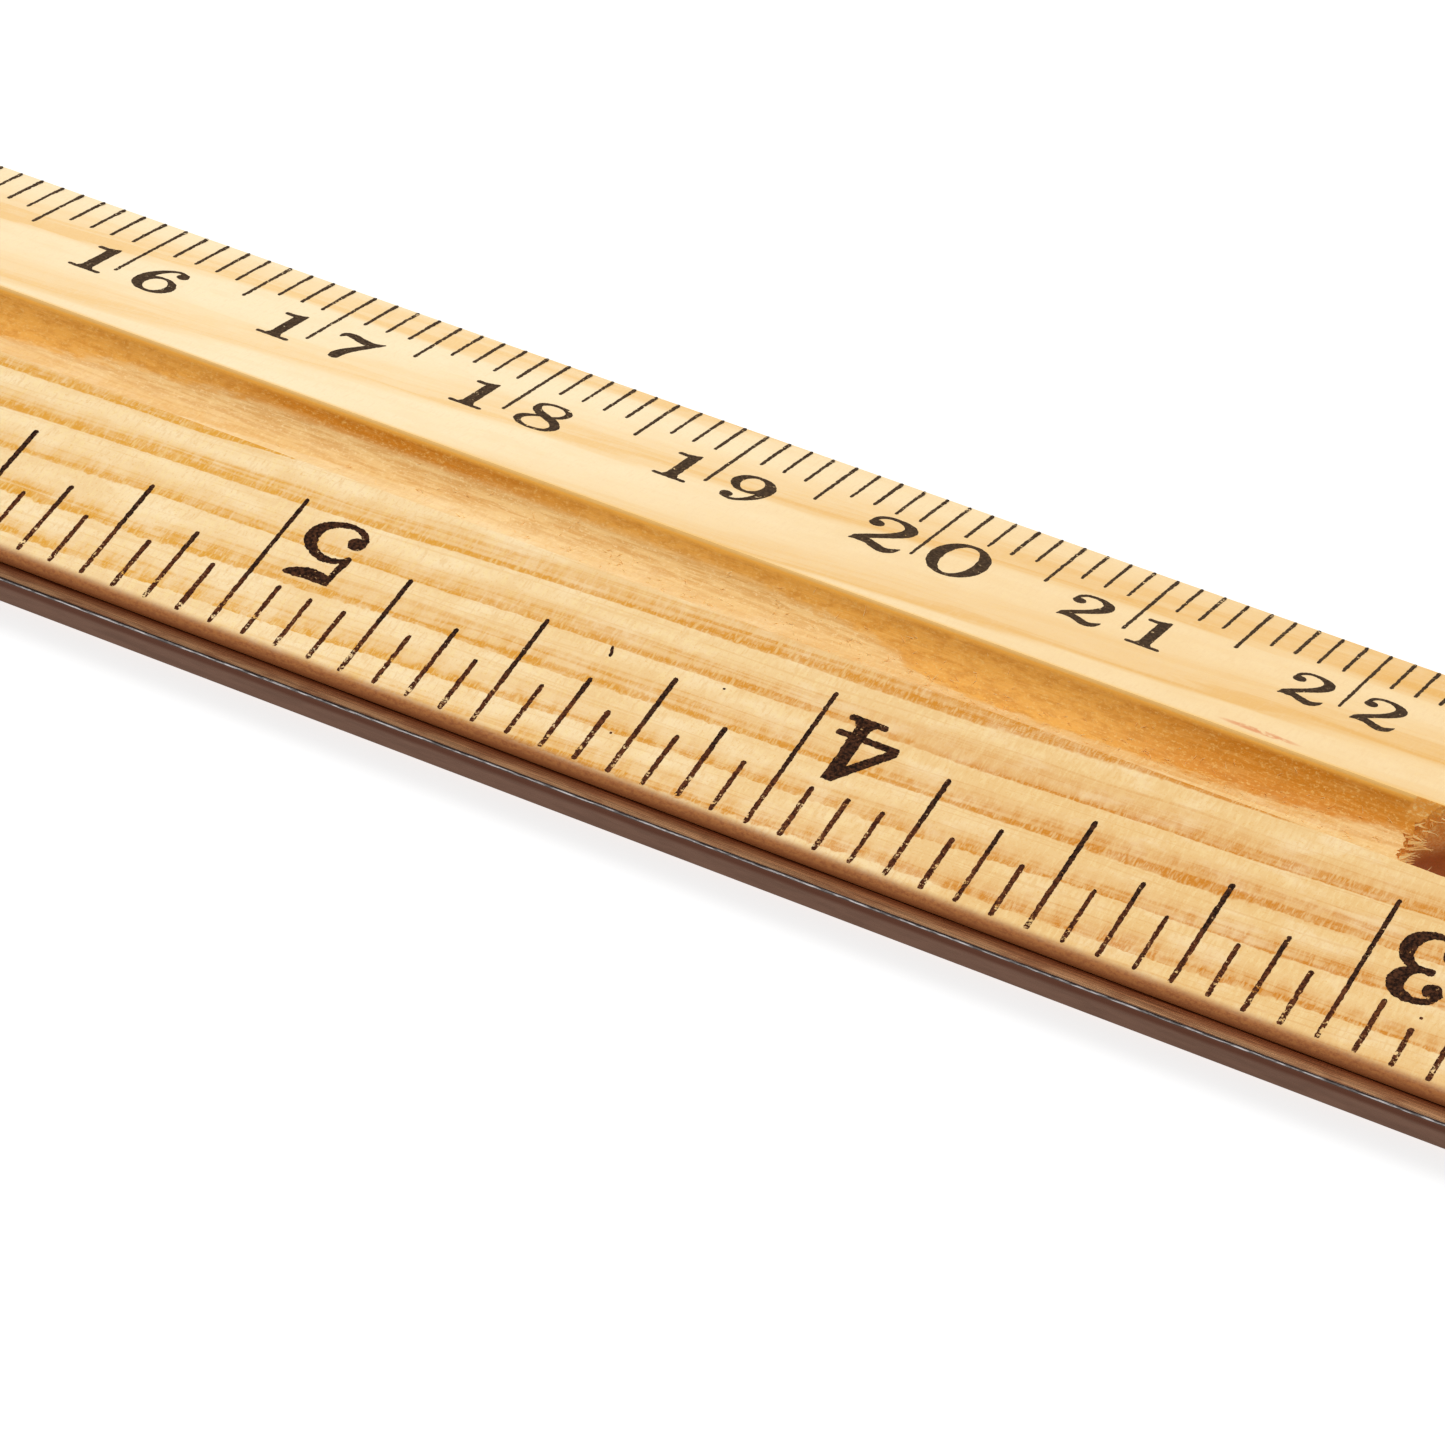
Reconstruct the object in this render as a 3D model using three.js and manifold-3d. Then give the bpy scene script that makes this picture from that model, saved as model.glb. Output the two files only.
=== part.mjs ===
// Wooden school ruler, twelve inches long, with a steel straight edge let into one long side.
// Millimetres, +Z up. X runs along the ruler, Y from the steel edge to the thin edge, and Z
// rises from the flat underside. The origin is the centre of the underside, steel included.

import * as THREE from 'three';
import { mergeVertices } from 'three/addons/utils/BufferGeometryUtils.js';
import Module from 'manifold-3d';

// Wood: heights stand above the underside, and Y distances start at the face that holds the steel
const LENGTH = 304.8;
const WOOD_WIDTH = 25.95;
const NEAR_HEIGHT = 2.95; // top of the inch side, where its edge starts to round over
const RIDGE_HEIGHT = 4.21; // far lip of the groove, the thickest place
const TIP_HEIGHT = 0.8; // thin edge that carries the centimetres
const NEAR_RADIUS = 0.49; // rounding of both long corners beside the steel
const TIP_RADIUS = 0.2; // rounding of the thin edge's upper corner

// Pencil groove, a circular arc sunk between its two lips
const GROOVE_START = 10.72;
const GROOVE_END = 14.39;
const GROOVE_DEPTH = 1.1;

// Holes for the three rings of a binder, drilled through the groove
const HOLE_DIAMETER = 4.0;
const HOLE_PITCH = 107.95;
const FIRST_HOLE = 13.4; // from the left end to the first hole's centre
const HOLE_Y = 12.74;

// Steel strip and the saw cut that it is glued into
const STRIP_THICKNESS = 1.34;
const STRIP_WIDTH = 4.9;
const STRIP_PROTRUSION = 0.89;
const STRIP_RADIUS = 0.07;
const GLUE_LINE = 0.05; // clearance between the strip and each face of the saw cut

const CURVE_STEPS = 8; // segments in a quarter turn of a rounded corner
const GROOVE_STEPS = 24;
const HOLE_STEPS = 48;

const STRIP_TOP = NEAR_HEIGHT - NEAR_RADIUS;
const STRIP_BOTTOM = STRIP_TOP - STRIP_THICKNESS;
const CENTRE_Y = (WOOD_WIDTH - STRIP_PROTRUSION) / 2;

const wasm = await Module();
wasm.setup();

// Points on a circular arc, given its centre, radius and its first and last angle in radians.
function arc(centre, radius, from, to, steps) {
  return Array.from({ length: steps + 1 }, (_, i) => {
    const angle = from + ((to - from) * i) / steps;
    return new THREE.Vector2(
      centre.x + radius * Math.cos(angle),
      centre.y + radius * Math.sin(angle),
    );
  });
}

// The concave arc from one lip to the other, as deep as GROOVE_DEPTH below the line between them.
function grooveArc(fromLip, toLip) {
  const halfChord = fromLip.distanceTo(toLip) / 2;
  const radius = (halfChord ** 2 + GROOVE_DEPTH ** 2) / (2 * GROOVE_DEPTH);
  const chord = toLip.clone().sub(fromLip).normalize();
  const up = new THREE.Vector2(chord.y, -chord.x);
  const middle = fromLip.clone().add(toLip).multiplyScalar(0.5);
  const centre = middle.addScaledVector(up, radius - GROOVE_DEPTH);
  const down = up.clone().negate().angle();
  const halfAngle = Math.asin(halfChord / radius);
  return arc(centre, radius, down + halfAngle, down - halfAngle, GROOVE_STEPS);
}

// Cross-section of the wood in Y and Z, counter-clockwise from the underside's steel side.
function woodProfile() {
  const nearSlope = (RIDGE_HEIGHT - NEAR_HEIGHT) / (GROOVE_END - NEAR_RADIUS);
  const nearLip = new THREE.Vector2(
    GROOVE_START,
    NEAR_HEIGHT + nearSlope * (GROOVE_START - NEAR_RADIUS),
  );
  const farLip = new THREE.Vector2(GROOVE_END, RIDGE_HEIGHT);
  const tipCentre = new THREE.Vector2(WOOD_WIDTH - TIP_RADIUS, TIP_HEIGHT - TIP_RADIUS);
  const topCentre = new THREE.Vector2(NEAR_RADIUS, NEAR_HEIGHT - NEAR_RADIUS);
  const bottomCentre = new THREE.Vector2(NEAR_RADIUS, NEAR_RADIUS);
  const bevelTilt = Math.atan2(RIDGE_HEIGHT - TIP_HEIGHT, WOOD_WIDTH - GROOVE_END);
  const quarter = Math.PI / 2;
  const cutDepth = STRIP_WIDTH - STRIP_PROTRUSION + GLUE_LINE;
  const cutTop = STRIP_TOP + GLUE_LINE;
  const cutBottom = STRIP_BOTTOM - GLUE_LINE;
  return [
    ...arc(bottomCentre, NEAR_RADIUS, 2 * quarter, 3 * quarter, CURVE_STEPS),
    new THREE.Vector2(WOOD_WIDTH, 0),
    ...arc(tipCentre, TIP_RADIUS, 0, quarter - bevelTilt, CURVE_STEPS),
    ...grooveArc(farLip, nearLip),
    ...arc(topCentre, NEAR_RADIUS, quarter, quarter + Math.acos(GLUE_LINE / NEAR_RADIUS), CURVE_STEPS),
    new THREE.Vector2(cutDepth, cutTop),
    new THREE.Vector2(cutDepth, cutBottom),
    new THREE.Vector2(0, cutBottom),
  ];
}

// Cross-section of the strip in Y and Z: a rectangle with eased corners.
function stripProfile() {
  const outer = -STRIP_PROTRUSION + STRIP_RADIUS;
  const inner = STRIP_WIDTH - STRIP_PROTRUSION - STRIP_RADIUS;
  const low = STRIP_BOTTOM + STRIP_RADIUS;
  const high = STRIP_TOP - STRIP_RADIUS;
  const corners = [[inner, high], [outer, high], [outer, low], [inner, low]];
  return corners.flatMap(([y, z], i) => {
    const from = (i * Math.PI) / 2;
    return arc(new THREE.Vector2(y, z), STRIP_RADIUS, from, from + Math.PI / 2, 3);
  });
}

// A cross-section drawn in Y and Z, swept along the whole length in X.
function sweep(profile) {
  const shape = new THREE.Shape(profile);
  const geometry = new THREE.ExtrudeGeometry(shape, { depth: LENGTH, bevelEnabled: false });
  const axes = new THREE.Matrix4().makeBasis(
    new THREE.Vector3(0, 1, 0),
    new THREE.Vector3(0, 0, 1),
    new THREE.Vector3(1, 0, 0),
  );
  geometry.applyMatrix4(axes);
  return geometry.translate(-LENGTH / 2, -CENTRE_Y, 0);
}

function toSolid(geometry) {
  const bare = geometry.clone();
  bare.deleteAttribute('normal');
  bare.deleteAttribute('uv');
  const merged = mergeVertices(bare, 1e-4);
  return new wasm.Manifold(new wasm.Mesh({
    numProp: 3,
    vertProperties: new Float32Array(merged.attributes.position.array),
    triVerts: new Uint32Array(merged.index.array),
  }));
}

function toGeometry(solid) {
  const mesh = solid.getMesh();
  const geometry = new THREE.BufferGeometry();
  geometry.setAttribute('position', new THREE.BufferAttribute(mesh.vertProperties, 3));
  geometry.setIndex(new THREE.BufferAttribute(mesh.triVerts, 1));
  geometry.computeVertexNormals();
  return geometry;
}

function ringHole(index) {
  const height = 4 * RIDGE_HEIGHT;
  const radius = HOLE_DIAMETER / 2;
  const drill = new THREE.CylinderGeometry(radius, radius, height, HOLE_STEPS);
  drill.rotateX(Math.PI / 2);
  drill.translate(FIRST_HOLE + index * HOLE_PITCH - LENGTH / 2, HOLE_Y - CENTRE_Y, 0);
  return toSolid(drill);
}

function woodBody() {
  const drilled = [0, 1, 2].reduce(
    (solid, index) => solid.subtract(ringHole(index)),
    toSolid(sweep(woodProfile())),
  );
  const pine = new THREE.MeshStandardMaterial({ color: 0xf3d19b, roughness: 0.4, metalness: 0 });
  const mesh = new THREE.Mesh(toGeometry(drilled), pine);
  mesh.name = 'wood_body';
  return mesh;
}

function steelEdge() {
  const steel = new THREE.MeshStandardMaterial({ color: 0x8a7466, roughness: 0.3, metalness: 1 });
  const mesh = new THREE.Mesh(sweep(stripProfile()), steel);
  mesh.name = 'steel_edge';
  return mesh;
}

const ruler = new THREE.Group();
ruler.add(woodBody(), steelEdge());

export default ruler;
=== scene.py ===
"""Looks for a lacquered pine ruler with a steel edge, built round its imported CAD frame.

Sizes are millimetres on the ruler: x from its left end, y from the wood's face that holds the
steel, z up from the underside. to_frame() turns them into metres in the frame.
"""

import math
import random

import bmesh
import bpy
from mathutils import Matrix, Vector, noise
from mathutils.geometry import delaunay_2d_cdt


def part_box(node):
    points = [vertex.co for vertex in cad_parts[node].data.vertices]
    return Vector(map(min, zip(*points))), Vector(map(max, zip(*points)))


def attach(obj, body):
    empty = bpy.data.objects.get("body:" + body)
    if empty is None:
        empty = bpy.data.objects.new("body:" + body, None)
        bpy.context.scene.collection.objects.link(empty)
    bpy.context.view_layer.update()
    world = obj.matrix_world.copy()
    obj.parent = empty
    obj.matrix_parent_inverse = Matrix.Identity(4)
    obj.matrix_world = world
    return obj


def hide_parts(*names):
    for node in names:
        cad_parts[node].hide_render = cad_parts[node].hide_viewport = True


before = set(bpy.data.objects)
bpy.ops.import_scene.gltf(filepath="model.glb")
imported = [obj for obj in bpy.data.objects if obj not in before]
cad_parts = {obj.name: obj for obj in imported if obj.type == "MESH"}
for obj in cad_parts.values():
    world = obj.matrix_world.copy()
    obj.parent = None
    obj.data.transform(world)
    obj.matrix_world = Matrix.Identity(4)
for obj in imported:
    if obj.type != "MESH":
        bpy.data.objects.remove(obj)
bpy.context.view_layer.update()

MM = 0.001
RANDOM_SEED = 12

# The ruler's section, as in the CAD frame
wood_low, wood_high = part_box("wood_body")
steel_low, steel_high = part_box("steel_edge")
LENGTH = (wood_high.x - wood_low.x) / MM
WIDTH = (wood_high.y - wood_low.y) / MM
RIDGE_HEIGHT = wood_high.z / MM
STEEL_TOP = steel_high.z / MM
STEEL_BOTTOM = steel_low.z / MM
STEEL_FRONT = (steel_low.y - wood_low.y) / MM
STEEL_BACK = (steel_high.y - wood_low.y) / MM
NEAR_RADIUS = 0.49
NEAR_HEIGHT = STEEL_TOP + NEAR_RADIUS
TIP_HEIGHT = 0.8
TIP_RADIUS = 0.2
GROOVE_START = 10.72
GROOVE_END = 14.39
GROOVE_DEPTH = 1.1
GROOVE_WANDER = 0.02
NEAR_LIP_SOFTNESS = 0.16
FAR_LIP_SOFTNESS = 0.34
GLUE_LINE = 0.05
GAP_OVER_STEEL = 0.01
STEEL_RADIUS = 0.07
WOOD_STEP = 0.6  # length of the mesh's faces along the ruler
STEEL_STEP = 0.5

NEAR_SLOPE = (RIDGE_HEIGHT - NEAR_HEIGHT) / (GROOVE_END - NEAR_RADIUS)
FAR_SLOPE = (RIDGE_HEIGHT - TIP_HEIGHT) / (WIDTH - GROOVE_END)

# Ring holes, with rims that the drill has torn
HOLE_COUNT = 3
HOLE_PITCH = 107.95
FIRST_HOLE = 13.4
HOLE_Y = 12.74
HOLE_CENTRES = [FIRST_HOLE + HOLE_PITCH * index for index in range(HOLE_COUNT)]
BORE_RADIUS = 1.93
TEAR_REACH = 0.52
TEAR_DEPTH = 1.0
TORN_RADIUS = 2.9  # nothing is torn further than this from a hole's middle

# Torn fibres
RIM_STRANDS = 110  # round each hole
GROOVE_FIBRES = 3200  # how many are tried for; the smooth stretches keep few of them
GROOVE_FIBRE_Y = 12.2
ROUGHEST_X = 215.0

# Growth rings: the direction across them, how they bend, and how far apart they are
RING_TILT = (-0.028, 0.524, 0.851)
RING_CURVE = -0.0016
RING_MIDDLE_Y = 5.0
RING_SPACING = 1.36
RING_SHIFT = 0.17
NEAR_LOOK_Y, FAR_LOOK_Y = 12.5, 15.0  # the grain looks rougher before these and finer beyond

# Stains: those of the printed side end above UNSTAINED_BELOW, and the resin is one streak
UNSTAINED_BELOW = 1.8
RESIN_X, RESIN_Y = 219.6, 15.08
RESIN_LENGTH, RESIN_WIDTH = 2.1, 0.24

# Ink of the printed scales, and how far the edges of its marks stray
INK_THICKNESS = 0.012
INK_DEPTH = 0.02
INCH_TICK_RAGGED = 0.032
INCH_DIGIT_RAGGED = 0.045
STRAY_RAGGED = 0.03
METRIC_TICK_RAGGED = 0.03
METRIC_DIGIT_RAGGED = 0.02
TICK_STEP = 0.09
NUMERAL_STEP = 0.022  # in heights of the numeral

# Inch scale: how far each mark runs from the steel side, by its place among the sixteenths
INCH = 25.4
INCHES = 12
INK_START = 0.5
SIXTEENTH_END, EIGHTH_END, QUARTER_END, HALF_END, INCH_END = 3.7, 4.98, 6.6, 7.2, 8.86
INCH_TICK_WIDTH = 0.225
INCH_DIGIT_HEIGHT = 3.93
INCH_DIGIT_TOP = 4.2
INCH_DIGIT_STRAY = 0.34
INCH_DIGIT_GAP = 0.95
INCH_DIGIT_SPACE = 0.3
PAIR_SQUEEZE = 0.84
SHORT_MARKS = {46: 2.66}  # the far end of the 2 7/8 in mark didn't print
# Marks that the stamp left by accident: x, y, length, width and lean
STRAY_MARKS = [(193.8, 6.42, 0.6, 0.14, -0.3), (198.93, 6.88, 0.1, 0.1, 0.0),
               (195.95, 2.5, 0.12, 0.11, 0.0), (231.86, 3.32, 0.14, 0.13, 0.0)]

# Metric scale: the far end of every mark is the thin edge
METRIC_ZERO = 1.31
METRIC_NUMBERS = 30
METRIC_NUMBER_STEP = 10.0
DIVISIONS_PER_NUMBER = 9  # the real scale is misprinted: nine divisions to each centimetre
MIDDLE_DIVISIONS = (5, 13)  # the middle marks, counted over two centimetres
METRIC_EDGE = WIDTH - 0.18
MINOR_END, MIDDLE_END, MAJOR_END = 22.8, 21.43, 19.62
METRIC_TICK_WIDTH = 0.155
METRIC_DIGIT_HEIGHT = 2.98
METRIC_TEN_HEIGHT = 3.55
METRIC_DIGIT_TOP = 21.68
METRIC_TEN_TOP = 22.33
METRIC_DIGIT_GAP = 0.68
METRIC_TEN_GAP = 0.5
MISPLACED = {16: 0.33, 17: 0.12, 19: 0.15, 21: -0.2}  # numbers stamped off their place

# Camera: stands near the right end on the steel side and looks across to the far left
CAMERA_LENS = 156.34
CAMERA_PLACE = (285.664, -169.903, 174.194)
CAMERA_RIGHT = (0.884720, 0.465041, 0.031740)
CAMERA_LOOK = (-0.331340, 0.675330, -0.658896)

# Studio, in metres
FLOOR_HALF_WIDTH = 6.0
FLOOR_DROP = 0.00002
SOFTBOX_PLACE = Vector((-0.1, 0.42, 1.5))
SOFTBOX_AIM = Vector((0.07, 0.0, 0.0))
SOFTBOX_SIZE = 0.9
SOFTBOX_POWER = 16.5
WORLD_STRENGTH = 0.45


def to_frame(x, y, z):
    """A place on the ruler, in metres in the frame."""
    return Vector((x * MM + wood_low.x, y * MM + wood_low.y, z * MM))


def smooth_noise(*place):
    """Smooth noise from -1 to 1 at a place given by up to three numbers."""
    return noise.noise(Vector((*place, 0.0, 0.0)[:3]))


# ---------------------------------------------------------------- shape of the wood


def roof(y):
    """Height of the two sloping faces, groove left out."""
    if y < GROOVE_END:
        return NEAR_HEIGHT + NEAR_SLOPE * (y - NEAR_RADIUS)
    return RIDGE_HEIGHT - FAR_SLOPE * (y - GROOVE_END)


def groove_circle():
    """Centre and radius of the arc that sinks GROOVE_DEPTH below the line between the lips."""
    half = (GROOVE_END - GROOVE_START) / 2
    middle = (GROOVE_START + GROOVE_END) / 2
    radius = (half**2 + GROOVE_DEPTH**2) / (2 * GROOVE_DEPTH)
    return middle, roof(middle) + radius - GROOVE_DEPTH, radius


def top_height(y, x=None):
    """Height of the printed side at y; with x, the groove wanders a little along the length."""
    centre_y, centre_z, radius = groove_circle()
    if x is not None:
        centre_z += GROOVE_WANDER * smooth_noise(x * 0.07, 9.0)
    face = roof(y)
    offset = y - centre_y
    if abs(offset) >= radius:
        return face
    groove = centre_z - math.sqrt(radius**2 - offset**2)
    softness = NEAR_LIP_SOFTNESS if offset < 0 else FAR_LIP_SOFTNESS
    blend = max(0.0, min(1.0, 0.5 + (face - groove) / (2 * softness)))
    return face + (groove - face) * blend - softness * blend * (1 - blend)


def arc(centre_y, centre_z, radius, start, end, steps):
    """Points on an arc in y and z; angles in degrees, anticlockwise from +y."""
    turns = [math.radians(start + (end - start) * i / steps) for i in range(steps + 1)]
    return [(centre_y + radius * math.cos(t), centre_z + radius * math.sin(t)) for t in turns]


def spread(start, end, steps):
    """Evenly spaced numbers after start, up to and with end."""
    return [start + (end - start) * (i + 1) / steps for i in range(steps)]


def wood_top_stations():
    """The y of each lengthwise line on the printed side, from the tip towards the steel."""
    lip = 0.5
    stations = [WIDTH - TIP_RADIUS * 0.75]
    stations += spread(stations[-1], GROOVE_END + 0.1, 10)
    stations += spread(stations[-1], GROOVE_END - 0.1, 7)
    stations += spread(stations[-1], GROOVE_END - lip, 7)
    stations += spread(stations[-1], GROOVE_START + lip, 14)
    stations += spread(stations[-1], GROOVE_START - lip, 14)
    stations += spread(stations[-1], NEAR_RADIUS, 10)
    return stations


def wood_section(x):
    """Outline of the wood at x, in y and z, anticlockwise seen from the right end."""
    bevel = math.degrees(math.atan(FAR_SLOPE))
    slope = math.degrees(math.atan(NEAR_SLOPE))
    cut_top = STEEL_TOP + GAP_OVER_STEEL
    cut_bottom = STEEL_BOTTOM - GLUE_LINE
    cut_back = STEEL_BACK + GLUE_LINE
    outline = arc(NEAR_RADIUS, NEAR_RADIUS, NEAR_RADIUS, 180, 270, 8)
    outline += [(y, 0.0) for y in spread(NEAR_RADIUS, WIDTH - TIP_RADIUS, 6)]
    outline += arc(WIDTH - TIP_RADIUS, TIP_RADIUS, TIP_RADIUS, -80, 0, 4)
    outline += arc(WIDTH - TIP_RADIUS, TIP_HEIGHT - TIP_RADIUS, TIP_RADIUS, 0, 90 - bevel, 5)
    outline += [(y, top_height(y, x)) for y in wood_top_stations()[1:-1]]
    outline += arc(NEAR_RADIUS, NEAR_HEIGHT - NEAR_RADIUS, NEAR_RADIUS, 90 + slope, 178, 10)
    outline += [(cut_back, cut_top), (cut_back, cut_bottom), (0.0, cut_bottom)]
    return outline


def loft(name, outline_at, step):
    """One closed solid as long as the ruler, through its outline at every step."""
    mesh = bmesh.new()
    count = round(LENGTH / step)
    rings = []
    for x in [LENGTH * i / count for i in range(count + 1)]:
        rings.append([mesh.verts.new(to_frame(x, y, z)) for y, z in outline_at(x)])
    for ring, following in zip(rings, rings[1:]):
        for i in range(len(ring)):
            j = (i + 1) % len(ring)
            mesh.faces.new((ring[i], following[i], following[j], ring[j]))
    mesh.faces.new(rings[0])
    mesh.faces.new(list(reversed(rings[-1])))
    bmesh.ops.recalc_face_normals(mesh, faces=mesh.faces)
    return finish_mesh(name, mesh)


def close_tube(mesh, rings):
    """Adds the faces between rings of corners, and a cap at each end."""
    for ring, following in zip(rings, rings[1:]):
        for i in range(len(ring)):
            j = (i + 1) % len(ring)
            mesh.faces.new((ring[i], ring[j], following[j], following[i]))
    mesh.faces.new(list(reversed(rings[0])))
    mesh.faces.new(rings[-1])


def finish_mesh(name, mesh):
    """Turns a bmesh into an object of the scene."""
    data = bpy.data.meshes.new(name)
    mesh.to_mesh(data)
    mesh.free()
    made = bpy.data.objects.new(name, data)
    bpy.context.scene.collection.objects.link(made)
    return made


def apply_modifiers(piece):
    """Bakes the piece's modifiers into its mesh."""
    evaluated = piece.evaluated_get(bpy.context.evaluated_depsgraph_get())
    piece.data = bpy.data.meshes.new_from_object(evaluated)
    piece.modifiers.clear()


def tear_share(turn):
    """How badly a hole's rim is torn at an angle: most where it crosses the grain, least in front."""
    return max(0.0, abs(math.cos(turn)) ** 1.5 - 0.12 + 0.5 * max(0.0, math.sin(turn)))


def rim_radius(index, turn):
    """Radius of the torn edge that a hole leaves in the printed side."""
    row = BORE_RADIUS * math.sin(turn) + 5.0 * math.copysign(1, math.cos(turn))
    jagged = 0.6 + 0.5 * smooth_noise(row * 0.9, index * 5.0)
    jagged += 0.6 * smooth_noise(row * 4.0, index * 9.0)
    jagged += 0.35 * smooth_noise(row * 9.0, index * 3.0)
    return BORE_RADIUS + 0.03 + TEAR_REACH * tear_share(turn) * max(0.0, jagged)


def drill(index):
    """Cutter for one ring hole: a rough bore that opens into the torn rim."""
    mesh = bmesh.new()
    sides = 150
    levels = [-0.5, *spread(-0.5, 1.7, 5), *spread(1.7, RIDGE_HEIGHT + 0.4, 22)]
    rings = []
    for z in levels:
        ring = []
        for side in range(sides):
            turn = 2 * math.pi * side / sides
            rim = rim_radius(index, turn)
            surface = top_height(HOLE_Y + rim * math.sin(turn))
            opening = max(0.0, min(1.0, 1 + (z - surface) / TEAR_DEPTH))
            rough = smooth_noise(6 * math.cos(turn), 6 * math.sin(turn), index + z * 1.5)
            splintered = smooth_noise(turn * 9.0, z * 2.0, index + 4.0)
            radius = BORE_RADIUS + (rim - BORE_RADIUS) * opening**1.3 + 0.035 * rough
            radius += 0.22 * splintered * opening * (1 - opening) * 4 * tear_share(turn)
            x = HOLE_CENTRES[index] + radius * math.cos(turn)
            y = HOLE_Y + radius * math.sin(turn)
            ring.append(mesh.verts.new(to_frame(x, y, z)))
        rings.append(ring)
    close_tube(mesh, rings)
    return finish_mesh(f"drill_{index}", mesh)


def drop_idle_corners(piece):
    """Removes the corners on only two edges, where both faces would cut off the same sliver."""
    mesh = bmesh.new()
    mesh.from_mesh(piece.data)
    idle = [corner for corner in mesh.verts if len(corner.link_edges) == 2]
    bmesh.ops.dissolve_verts(mesh, verts=idle)
    mesh.to_mesh(piece.data)
    mesh.free()


def make_wood():
    wood = loft("pine_body", wood_section, WOOD_STEP)
    cutters = [drill(index) for index in range(HOLE_COUNT)]
    for cutter in cutters:
        cut = wood.modifiers.new(cutter.name, "BOOLEAN")
        cut.operation = "DIFFERENCE"
        cut.object = cutter
        cut.solver = "EXACT"
    apply_modifiers(wood)
    for cutter in cutters:
        bpy.data.objects.remove(cutter)
    drop_idle_corners(wood)
    return wood


def add_strand(mesh, start, along, up, length, width, curl):
    """One loose wood fibre: a tapered three-sided strand that lifts and curls from its root."""
    steps = 5
    along, up = along.normalized(), up.normalized()
    side = along.cross(up).normalized()
    rings = []
    for i in range(steps + 1):
        t = i / steps
        centre = start + along * (length * t) + up * (length * 0.3 * t)
        centre = centre + side * (length * curl * t * t)
        half = 0.5 * width * (1 - 0.85 * t)
        centre.z = min(centre.z, RIDGE_HEIGHT - half)
        corners = [(0.0, 1.0), (0.87, -0.5), (-0.87, -0.5)]
        rings.append([mesh.verts.new(to_frame(*(centre + side * (half * a) + up * (half * b))))
                      for a, b in corners])
    close_tube(mesh, rings)


def add_rim_strands(mesh, draw):
    """Splinters that lean into the holes from their torn rims."""
    for index, centre_x in enumerate(HOLE_CENTRES):
        for _ in range(RIM_STRANDS):
            turn = draw.choice((0.0, math.pi)) + draw.gauss(0, 0.6)
            radius = rim_radius(index, turn) - draw.uniform(0.0, 0.4)
            x, y = centre_x + radius * math.cos(turn), HOLE_Y + radius * math.sin(turn)
            sunk = draw.uniform(0.02, 0.75)
            start = Vector((x, y, top_height(y) - sunk))
            inward = Vector((-math.cos(turn), -0.4 * math.sin(turn) + draw.gauss(0, 0.4), 0.0))
            add_strand(mesh, start - inward * 0.12, inward, Vector((0, 0, 1)),
                       draw.uniform(0.25, 0.85), draw.uniform(0.07, 0.22), draw.uniform(-0.6, 0.6))


def add_groove_fibres(mesh, draw):
    """Short fibres raised where the gouge went through the wood."""
    for _ in range(GROOVE_FIBRES):
        x = draw.uniform(1.0, LENGTH - 1.0)
        roughness = 0.5 + 0.5 * math.cos(2 * math.pi * (x - ROUGHEST_X) / HOLE_PITCH)
        y = draw.gauss(GROOVE_FIBRE_Y, 0.85)
        heading = draw.gauss(0.0, 0.8) + draw.choice((0.0, math.pi))
        length, width = draw.uniform(0.06, 0.4), draw.uniform(0.03, 0.065)
        curl, lift = draw.uniform(-0.6, 0.6), draw.uniform(0.1, 0.6)
        if any(math.hypot(x - centre_x, y - HOLE_Y) < TORN_RADIUS for centre_x in HOLE_CENTRES):
            continue
        if roughness < draw.random() or not GROOVE_START + 0.9 < y < GROOVE_END - 0.15:
            continue
        along = Vector((math.cos(heading), math.sin(heading), 0.0))
        along.z = (top_height(y + 0.1 * along.y) - top_height(y)) / 0.1 + lift * 0.4
        start = Vector((x, y, top_height(y, x))) - Vector((0, 0, 0.01))
        add_strand(mesh, start, along, Vector((0, 0, 1)), length, width, curl)


def make_fibres(draw):
    mesh = bmesh.new()
    add_rim_strands(mesh, draw)
    add_groove_fibres(mesh, draw)
    return finish_mesh("raised_fibres", mesh)


# ---------------------------------------------------------------- shape of the steel


def steel_section(x):
    """Outline of the strip at x: a flat bar with eased corners and a slightly worn front."""
    wear = 0.012 * smooth_noise(x * 0.9, 1.0) + 0.008 * smooth_noise(x * 3.1, 5.0)
    front = STEEL_RADIUS + STEEL_FRONT
    back = STEEL_BACK - STEEL_RADIUS
    low, high = STEEL_BOTTOM + STEEL_RADIUS, STEEL_TOP - STEEL_RADIUS
    worn = STEEL_RADIUS - abs(wear)
    outline = arc(front, low, STEEL_RADIUS, 180, 270, 4)
    outline += arc(back, low, STEEL_RADIUS, 270, 360, 2)
    outline += arc(back, high, STEEL_RADIUS, 0, 90, 2)
    outline += [(0.3, STEEL_TOP)]
    outline += arc(front, high, worn, 90, 180, 5)
    return outline


# ---------------------------------------------------------------- numerals


def catmull(knots, steps):
    """Smooth curve through knots of any size, steps points to each stretch."""
    ends = [knots[0], *knots, knots[-1]]
    curve = []
    for before, start, end, after in zip(ends, ends[1:], ends[2:], ends[3:]):
        for i in range(steps):
            t = i / steps
            curve.append(tuple(
                0.5 * (2 * b + (c - a) * t + (2 * a - 5 * b + 4 * c - d) * t**2
                       + (3 * b - a - 3 * c + d) * t**3)
                for a, b, c, d in zip(before, start, end, after)))
    return [*curve, knots[-1]]


def disc(x, y, radius, stretch=1.0):
    """A round spot, stretched upwards."""
    turns = [2 * math.pi * i / 20 for i in range(20)]
    return [(x + radius * math.cos(t), y + radius * stretch * math.sin(t)) for t in turns]


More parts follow.
